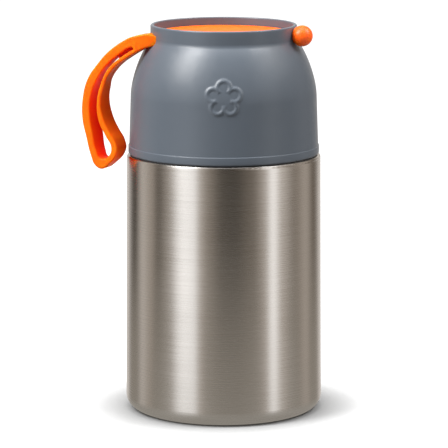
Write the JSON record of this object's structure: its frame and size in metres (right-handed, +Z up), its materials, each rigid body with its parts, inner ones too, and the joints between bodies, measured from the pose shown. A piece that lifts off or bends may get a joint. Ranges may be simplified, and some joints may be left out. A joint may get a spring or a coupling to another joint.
{
  "type": "insulated food jar",
  "caption": "Double-walled steel food jar with a screw stopper, a tall bowl-shaped screw lid and an orange silicone strap loop that hooks on a ball.",
  "frame": {"origin": "on the jar's axis at the plane it stands on", "axes": "+Z up along the axis, -Y towards the front with the raised motif, strap on the -X side"},
  "size_m": [0.1122, 0.0914, 0.1805],
  "materials": {
    "brushed_steel": "horizontally brushed stainless steel",
    "plain_steel": "satin stainless steel",
    "solder": "grey sealing metal",
    "getter_metal": "sintered grey metal",
    "foil": "bright thin foil",
    "white_plastic": "off-white polypropylene",
    "clear_silicone": "milky silicone",
    "foam": "rigid cream foam",
    "dark_plastic": "dark grey polypropylene",
    "orange_plastic": "orange plastic",
    "spring_wire": "bright spring steel",
    "grey_plastic": "fine-textured blue-grey polypropylene",
    "dark_silicone": "near-black silicone",
    "orange_silicone": "soft orange silicone"
  },
  "bodies": {
    "jar": {"outer_shell": "brushed_steel", "base_cover": "plain_steel", "vacuum_bottom": "plain_steel", "seal_bead": "solder", "getter": "getter_metal", "inner_vessel": "plain_steel", "radiation_foil": "foil"},
    "lid_ring": {"lid_gasket": "dark_silicone"},
    "lid": {"lid_shell": "grey_plastic", "top_disc": "orange_silicone", "strap_anchor": "orange_silicone"},
    "strap": {"strap_loop": "orange_silicone"},
    "stopper_ring": {"flange_gasket": "clear_silicone"},
    "stopper": {"stopper_body": "white_plastic", "plug_gasket": "clear_silicone", "stopper_foam": "foam", "stopper_cover": "dark_plastic", "vent_spring": "spring_wire"},
    "vent": {"vent_button": "orange_plastic", "vent_seal": "clear_silicone", "vent_clip": "spring_wire"}
  },
  "joints": [
    {"name": "lid_rise", "type": "slide", "parent": "jar", "child": "lid_ring", "axis": [0, 0, 1], "range_m": [0, 0.0601]},
    {"name": "lid_turn", "type": "hinge", "parent": "lid_ring", "child": "lid", "pos_m": [0, 0, 0], "axis": [0, 0, 1], "range_deg": [0, 1080]},
    {"name": "stopper_rise", "type": "slide", "parent": "jar", "child": "stopper_ring", "axis": [0, 0, 1], "range_m": [0, 0.0246]},
    {"name": "stopper_turn", "type": "hinge", "parent": "stopper_ring", "child": "stopper", "pos_m": [0, 0, 0], "axis": [0, 0, 1], "range_deg": [0, 630]},
    {"name": "vent_press", "type": "slide", "parent": "stopper", "child": "vent", "axis": [0, 0, -1], "range_m": [0, 0.002], "stiffness_N_per_m": 400, "springref_m": -0.002, "deforming": ["vent_spring"]},
    {"name": "strap_bend", "type": "hinge", "parent": "lid", "child": "strap", "pos_m": [-0.0394, -0.0082, 0.172], "axis": [0.342, 0.9397, 0], "range_deg": [0, 95]}
  ],
  "couplings": [
    {"joint": "lid_rise", "follows": "lid_turn", "m_per_rad": 0.0031831},
    {"joint": "stopper_rise", "follows": "stopper_turn", "m_per_rad": 0.0022282}
  ]
}
